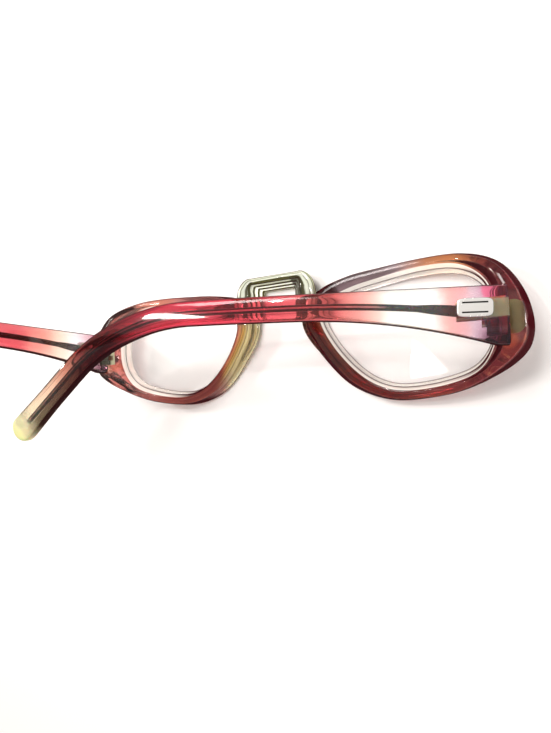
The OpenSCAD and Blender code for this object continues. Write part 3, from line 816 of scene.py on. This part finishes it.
def spotted(tone, x, up, wall, spots):
    # lays round spots over a tone, and gives their sum as well
    total = 0.0
    for out, high, reach, colour, share in spots:
        sideways = abs(x - middleX) - out
        upwards = up - high
        square = sideways * sideways + upwards * upwards
        spot = spread(square, reach * reach, reach * reach * endLook["spotCore"])
        spot = spot * (1.0 - wall) * share
        tone = paint(tone, spot, colour)
        total = spot + total
    return tone, total


olive, paleGreen, deepOlive = (0.06, 0.055, 0.012), (0.95, 1.0, 0.84), (0.015, 0.012, 0.004)
archRound = [
    (0.0, olive), (0.07, olive), (0.08, paleGreen), (0.148, paleGreen), (0.158, olive), (0.222, olive),
    (0.232, paleGreen), (0.3, paleGreen), (0.31, olive), (0.375, olive), (0.385, paleGreen),
    (0.455, paleGreen), (0.465, olive), (0.535, olive), (0.542, paleGreen), (0.556, paleGreen),
    (0.562, olive), (0.57, (0.95, 1.0, 0.8)), (0.588, (0.95, 1.0, 0.8)), (0.594, deepOlive),
    (0.605, (0.8, 0.84, 0.5)), (0.63, (0.95, 1.0, 0.8)), (0.642, deepOlive), (0.66, (0.4, 0.42, 0.14)),
    (0.72, (0.8, 0.84, 0.5)), (0.75, deepOlive), (1.0, (0.3, 0.31, 0.12)),
]
archLook = {
    "noise": (110.0, 3.0, 0.6), "wave": 0.05, "cornerX": (7.6, 2.6, 1.6), "cornerRound": (0.56, 0.5),
    "shoulderX": (-8.4, -9.8), "shoulderRound": (0.6, 0.66), "dark": ((0.02, 0.016, 0.006), 0.9),
}


def archTone(tone, place, x, isArch, section, ripple):
    # the arch is striped with its terraces, and nearly black in its right corner and on its left shoulder
    look = archLook
    wavy = ripple + (noise(place, *look["noise"]) - 0.5) * look["wave"]
    tone = blendColour(isArch, tone, ramp(wavy, 0, 1, archRound))
    corner = band(x - middleX, *look["cornerX"]) * spread(section, *look["cornerRound"])
    shoulder = spread(x - middleX, *look["shoulderX"]) * spread(section, *look["shoulderRound"])
    return paint(tone, isArch * (corner + shoulder), *look["dark"])


frontLook = {
    "cloud": (90.0, 3.0, 0.6), "cloudOut": 9.0, "cloudUp": 6.0, "ripple": (180.0, 2.0), "rippleWave": 0.015,
    "wall": (0.35, 0.326), "isArch": (-0.5, -0.4), "bump": 0.05, "milkRough": 0.2, "paintedGlow": 0.5,
    "wallMilkGlow": 0.6, "archMilkGlow": 0.4, "noseMilkGlow": 0.12, "spotMilkGlow": 0.12,
    "outline": (0.36, 0.62, 0.97, (0.05, 0.005, 0.008)), "spotSolid": 0.6,
}


def frontMaterial():
    tree = newTree("acetateFront")
    place, (x, y, z) = coordinates(tree)
    around, section = alongAndRound(tree)
    look = frontLook
    up = y - datumY
    cloud = noise(place, *look["cloud"]) - 0.5
    out = abs(x - middleX) + cloud * look["cloudOut"]
    ripple = section + (noise(place, *look["ripple"]) - 0.5) * look["rippleWave"]
    wall = spread(section, *look["wall"])
    tone = bodyTone(x, out, up + cloud * look["cloudUp"], ripple)
    tone = wallTone(tone, wall, section)
    nose = spread(up, *noseLook["up"]) * spread(out, *noseLook["out"])
    leftNose = nose * spread(x, *noseLook["left"])
    tone = blendColour(leftNose, tone, ramp(ripple, 0, 1, leftNoseRound))
    tone = blendColour(nose * spread(x, *noseLook["right"]), tone, ramp(ripple, 0, 1, rightNoseRound))
    tone = endTone(tone, place, x, up, z, out, wall)
    tone, solid = spotted(tone, x, up, wall, darkSpots)
    tone, warm = spotted(tone, x, up, wall, warmSpots)
    isArch = spread(around - archMark, *look["isArch"])
    tone = archTone(tone, place, x, isArch, section, ripple)
    clear = acetate(tone, acetateLook["rough"], waves(place, look["bump"]))
    # the milky acetate also glows with its own tone: painted light on the walls, the arch, the left nose and
    # the warm spots
    milky = principled(tree, {"Base Color": tone, "Roughness": look["milkRough"], "IOR": acetateLook["index"],
                              "Emission Color": tone, "Emission Strength": look["paintedGlow"]})
    milk = wall * look["wallMilkGlow"] + isArch * look["archMilkGlow"]
    milk = milk + leftNose * look["noseMilkGlow"] + warm * look["spotMilkGlow"]
    bar = mixShaders(milk, clear, milky)
    # painted shade at the turned-away edges; the dark spots take the same dark shader
    return tree.finish(outlined(bar, *look["outline"], solid * look["spotSolid"]))


# the arms' colours by distance back from the pin, in millimetres; both end in the same ear bend
earStops = [
    (60, (0.72, 0.05, 0.09)), (80, (0.62, 0.035, 0.07)), (92, (0.2, 0.016, 0.025)),
    (103, (0.2, 0.03, 0.03)), (112, (0.55, 0.22, 0.15)), (120, (0.85, 0.58, 0.42)),
    (130, (0.86, 0.78, 0.54)), (137, (0.74, 0.78, 0.36)),
]
rightStops = [
    (0, (0.4, 0.05, 0.14)), (1.2, (0.5, 0.18, 0.3)), (3, (0.66, 0.42, 0.56)), (5.5, (0.76, 0.56, 0.66)),
    (7.5, (0.86, 0.44, 0.46)), (10, (0.88, 0.48, 0.46)), (12.5, (1.0, 0.985, 0.98)),
    (22, (0.98, 1.0, 0.95)), (26, (0.92, 0.5, 0.45)), (34, (0.74, 0.15, 0.15)), (44, (0.68, 0.1, 0.12)),
] + earStops
leftStops = [
    (0, (0.4, 0.2, 0.22)), (6, (0.76, 0.52, 0.6)), (10, (0.92, 0.87, 0.9)), (15, (0.94, 0.68, 0.56)),
    (20, (0.85, 0.34, 0.28)), (28, (0.66, 0.1, 0.12)),
] + earStops
underStops = [
    (84, (0.16, 0.01, 0.02)), (104, (0.05, 0.01, 0.01)), (120, (0.1, 0.07, 0.03)), (134, (0.4, 0.38, 0.14)),
]
# along is measured back from the pin; a line is a centre and a half width, from 0 at the middle of the outer
# face to 0.5 at the middle of the inner one
armLook = {
    "cloud": (120.0, 3.0, 0.8), "cloudAlong": 6.0, "long": 146.0, "first": 2.0, "span": 144.0,
    "cornerUp": (-1.5, -5.0), "cornerAlong": (6.0, 1.5), "corner": ((0.1, 0.012, 0.05), 0.75),
    "lines": ((0.1, 0.012), (0.03, 0.006), (0.4, 0.012)), "lineCore": 0.4, "lineFrom": (26.0, 50.0),
    "lineTo": (128.0, 118.0), "line": ((0.12, 0.008, 0.015), 0.7), "lowShade": (0.75, 0.13, 0.09),
    "lowShadeTo": (137.0, 130.0), "pinkUp": (2.5, 4.0), "pinkAlong": (4.0, 2.5),
    "pink": ((0.85, 0.16, 0.3), 0.8), "leafUp": (1.5, 2.3, 1.7), "leafAlong": (4.5, 3.0),
    "leaf": ((0.42, 0.46, 0.26), 0.8), "leafMilk": 0.35, "under": (0.8, 0.185, 0.165),
    "underFrom": (84.0, 98.0), "underTo": (134.0, 126.0), "underSpan": (84.0, 134.0), "underShare": 0.9,
    "underSolid": 0.75, "bump": 0.04,
    "edge": (0.3, 0.7, (0.05, 0.03, 0.03)), "outline": (0.4, 0.7, 0.95, (0.025, 0.004, 0.006)),
    "milkRough": 0.25, "milkWeight": 0.6, "milkDeep": 0.002, "tipMilk": (127.0, 136.0, 0.04, 0.85),
}


def armMaterial(name, stops, lowShade):
    tree = newTree(name)
    look = armLook
    place, (_, y, _) = coordinates(tree)
    along, section = alongAndRound(tree)
    up = y - datumY
    u = along * look["long"] + (noise(place, *look["cloud"]) - 0.5) * look["cloudAlong"] - look["first"]
    tone = ramp(u, 0, look["span"], stops)
    tone = paint(tone, spread(up, *look["cornerUp"]) * spread(u, *look["cornerAlong"]), *look["corner"])
    # fine dark lines run along the faces, and the lower edge is darkened with painted shade
    fromOuter = 0.5 - abs(section - 0.5)
    for centre, reach in look["lines"]:
        line = band(fromOuter, centre, reach, reach * look["lineCore"])
        line = line * spread(u, *look["lineFrom"]) * spread(u, *look["lineTo"])
        tone = paint(tone, line, *look["line"])
    paintedLowShade = band(section, *look["lowShade"]) * spread(u, *look["lowShadeTo"], 0.0, lowShade)
    # the first millimetres are pink above the hinge leaf and olive where the leaf shows through
    tone = paint(tone, spread(up, *look["pinkUp"]) * spread(u, *look["pinkAlong"]), *look["pink"])
    leaf = band(up, *look["leafUp"]) * spread(u, *look["leafAlong"])
    tone = paint(tone, leaf, *look["leaf"])
    # the under side is dark round the ear bend and turns olive before the tip
    under = band(section, *look["under"]) * spread(u, *look["underFrom"]) * spread(u, *look["underTo"])
    tone = blendColour(under * look["underShare"], tone, ramp(u, *look["underSpan"], underStops))
    shaded = edgeShade(tone, *look["edge"])
    clear = acetate(shaded, acetateLook["rough"], waves(place, look["bump"]))
    # painted shade at the turned-away edges; the under side and the lower edge take the same dark shader
    clear = outlined(clear, *look["outline"], under * look["underSolid"] + paintedLowShade)
    milky = principled(tree, {"Base Color": tone, "Roughness": look["milkRough"], "IOR": acetateLook["index"],
                              "Subsurface Weight": look["milkWeight"], "Subsurface Scale": look["milkDeep"]})
    milk = spread(u, *look["tipMilk"]) + leaf * look["leafMilk"]
    return tree.finish(mixShaders(milk, clear, milky))


padLook = {"scale": 200.0, "first": (0.93, 0.88, 0.74, 1), "second": (0.86, 0.8, 0.64, 1)}


def padMaterial():
    tree = newTree("acetatePad")
    cloud = noise(coordinates(tree)[0], padLook["scale"])
    tone = blendColour(cloud, padLook["first"], padLook["second"])
    return tree.finish(acetate(tone, acetateLook["padRough"]))


lensLook = {
    "tone": (0.97, 0.99, 0.98, 1), "smudge": (60.0, 4.0, 0.5), "haze": (0.45, 0.75, 0.0, 0.03),
    "index": 1.5, "shine": 0.15, "solid": 0.1, "edgeSolid": 0.8,
}


def lensMaterial():
    # clear from the front and more solid seen edge on, by the cube of the turn away
    tree = newTree("lensClear")
    haze = scale(noise(coordinates(tree)[0], *lensLook["smudge"]), *lensLook["haze"])
    turned = turnedAway(tree)
    solid = turned * turned * turned * lensLook["edgeSolid"] + lensLook["solid"]
    return tree.finish(principled(tree, {
        "Base Color": lensLook["tone"], "Roughness": haze, "IOR": lensLook["index"],
        "Specular IOR Level": lensLook["shine"], "Transmission Weight": 1.0, "Alpha": solid}))


wireLook = {
    "grain": (900.0, 5.0), "dark": (0.004, 0.003, 0.004, 1), "light": (0.025, 0.02, 0.022, 1),
    "line": (0.5, 0.44, 0.47), "lineFrom": (0.12, 0.16), "lineTo": (0.7, 0.5, 0.35, 0.95),
    "highlightTone": (0.8, 0.5, 0.52), "rough": (0.3, 0.7, 0.25, 0.4), "metallic": 0.15,
}


def wireMaterial():
    # dark drawn wire with a painted highlight, a light line along it
    tree = newTree("coreWire")
    look = wireLook
    along, section = alongAndRound(tree)
    grain = noise(coordinates(tree)[0], *look["grain"])
    tone = blendColour(grain, look["dark"], look["light"])
    # painted highlight along the wire
    line = band(section, *look["line"]) * spread(along, *look["lineFrom"])
    tone = paint(tone, line * spread(along, *look["lineTo"]), look["highlightTone"])
    return tree.finish(principled(tree, {"Base Color": tone, "Metallic": look["metallic"],
                                         "Roughness": spread(grain, *look["rough"])}))


metalLook = {
    "detail": 5.0, "wearScale": 0.12, "wearDetail": 3.0, "grain": (0.3, 0.7), "bump": 0.12,
    "bumpDeep": 0.00005, "pinReach": (3.6, 2.6), "knuckleShadeTone": (0.01, 0.009, 0.008),
    "grooveTone": (0.02, 0.02, 0.02), "grooveMark": (3.0, 4.0),
}


def metalMaterial(name, light, dark, rough, fineness, metallic=1.0, grooved=False, knuckleShade=0.0):
    # painted shade darkens the knuckles, which lie close round the two pins; grooved metal is dark in its
    # grooves
    tree = newTree(name)
    look = metalLook
    place, (x, _, z) = coordinates(tree)
    grain = noise(place, fineness, look["detail"])
    wear = noise(place, fineness * look["wearScale"], look["wearDetail"])
    tone = blendColour(wear, (*dark, 1), (*light, 1))
    if knuckleShade:
        # painted shade round both pins
        offPin = abs(abs(x - middleX) - (pins[1][0] - middleX)) + abs(z - pins[1][2])
        tone = paint(tone, spread(offPin, *look["pinReach"]), look["knuckleShadeTone"], knuckleShade)
    if grooved:
        groove = spread(alongAndRound(tree)[1], *look["grooveMark"])
        tone = paint(tone, groove, look["grooveTone"])
    bump = tree.add("ShaderNodeBump", None, {
        "Height": grain, "Strength": look["bump"], "Distance": look["bumpDeep"]})
    return tree.finish(principled(tree, {"Base Color": tone, "Metallic": metallic, "Normal": bump,
                                         "Roughness": scale(grain, *look["grain"], *rough)}))


floorLook = {
    "cloud": (4.0, 3.0), "dark": (0.93, 0.925, 0.92, 1), "light": (0.96, 0.955, 0.95, 1), "rough": 0.45,
    "index": 1.45,
}


def floorMaterial():
    tree = newTree("tableTop")
    cloud = noise(coordinates(tree)[0], *floorLook["cloud"])
    tone = blendColour(cloud, floorLook["dark"], floorLook["light"])
    return tree.finish(principled(tree, {
        "Base Color": tone, "Roughness": floorLook["rough"], "IOR": floorLook["index"]}))


materials = {
    "front_acetate": frontMaterial(),
    "arm_acetate": armMaterial("acetateRightArm", rightStops, 0.4),
    "pad_acetate": padMaterial(),
    "lens": lensMaterial(),
    "hinge_metal": metalMaterial("hingeMetal", (0.75, 0.74, 0.5), (0.34, 0.33, 0.2), (0.3, 0.5), 900,
                                 metallic=0.45, knuckleShade=0.9),
    "core_metal": wireMaterial(),
    "plaque_metal": metalMaterial("plaqueMetal", (0.9, 0.9, 0.88), (0.74, 0.74, 0.71), (0.16, 0.3), 700,
                                  metallic=0.6, grooved=True),
    "fastener_metal": metalMaterial("fastenerMetal", (0.8, 0.8, 0.8), (0.6, 0.6, 0.6), (0.15, 0.3), 900),
}
# the last number is the share of painted shade on an arm's lower edge, more on the far left arm
leftArmMaterial = armMaterial("acetateLeftArm", leftStops, 0.9)
slots = {s["node"]: s["material_slot"] for s in frame["record"]["subparts"]}
for node, piece in frame["nodes"].items():
    if not piece.hide_render:
        piece.data.materials.clear()
        piece.data.materials.append(materials[slots[node]])
for piece in list(bpy.data.objects):
    if piece.type == "MESH" and piece.name not in frame["nodes"] and "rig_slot" in piece:
        look = leftArmMaterial if piece.name == "armLeft" else materials[piece["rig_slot"]]
        piece.data.materials.clear()
        piece.data.materials.append(look)
print("materials done")


# table, light and camera
studio = {
    "tableHalf": 4.0, "horizon": 0.4, "zenith": 0.6, "skyHeights": (0.15, 0.75),
    "skyTint": (1.0, 0.93, 0.89, 1), "lampTint": (1.0, 0.965, 0.93), "aim": (0, 0, 0.01),
}
half = studio["tableHalf"]
tableMesh = bpy.data.meshes.new("table")
corners = [(-half, -half, 0), (half, -half, 0), (half, half, 0), (-half, half, 0)]
tableMesh.from_pydata(corners, [], [(0, 1, 2, 3)])
table = bpy.data.objects.new("table", tableMesh)
bpy.context.scene.collection.objects.link(table)
table.data.materials.append(floorMaterial())

# the room is dimmer near the horizon than overhead, which darkens the acetate's edges
world = bpy.data.worlds.new("studio")
bpy.context.scene.world = world
room = Tree(world)
height = room.split(room.add("ShaderNodeTexCoord", output="Generated"))[2]
brightness = spread(height, *studio["skyHeights"], studio["horizon"], studio["zenith"])
room.finish(room.add("ShaderNodeBackground", None, {"Color": studio["skyTint"], "Strength": brightness}),
            "ShaderNodeOutputWorld")

# area lamps: name, place in metres, length and width, and watts
lamps = [
    ("keyTop", (-0.1, 0.042, 0.28), (0.008, 0.055), 0.18),
    ("softTop", (-0.16, 0.42, 0.78), (0.3, 0.3), 3.9),
    ("windowLeft", (-0.7, 0.26, 0.42), (0.08, 0.08), 2.6),
    ("flash", (0.0, 0.05, 0.16), (0.006, 0.006), 0.05),
    ("glintRight", (0.24, 0.02, 0.05), (0.04, 0.04), 0.16),
]
for name, spot, size, power in lamps:
    data = bpy.data.lights.new(name, "AREA")
    data.shape, data.size, data.size_y, data.energy = "RECTANGLE", size[0], size[1], power
    data.color = studio["lampTint"]
    lamp = bpy.data.objects.new(name, data)
    lamp.location = spot
    lamp.rotation_euler = (Vector(studio["aim"]) - Vector(spot)).to_track_quat("-Z", "Y").to_euler()
    bpy.context.scene.collection.objects.link(lamp)

# where the photograph was taken from, in millimetres from the lens centre line and the back of the bridge
view = {
    "place": (57.83, -9.95, 120.65), "tilt": (0.99, 25.88, -3.54), "lens": 20.96, "sensor": 36.0,
    "clip": 0.005,
}
cameraData = bpy.data.cameras.new("camera")
cameraData.lens, cameraData.sensor_width, cameraData.clip_start = view["lens"], view["sensor"], view["clip"]
camera = bpy.data.objects.new("camera", cameraData)
turnX, turnY, turnZ = (Matrix.Rotation(math.radians(a), 4, axis) for a, axis in zip(view["tilt"], "XYZ"))
spot = (np.array(view["place"]) + [middleX, datumY, backZ]) * mm
camera.matrix_world = Matrix.Translation(Vector(spot)) @ turnX @ turnY @ turnZ
bpy.context.scene.collection.objects.link(camera)
bpy.context.scene.camera = camera
bpy.context.scene.view_settings.view_transform = "Standard"
print("table, lamps and camera done")
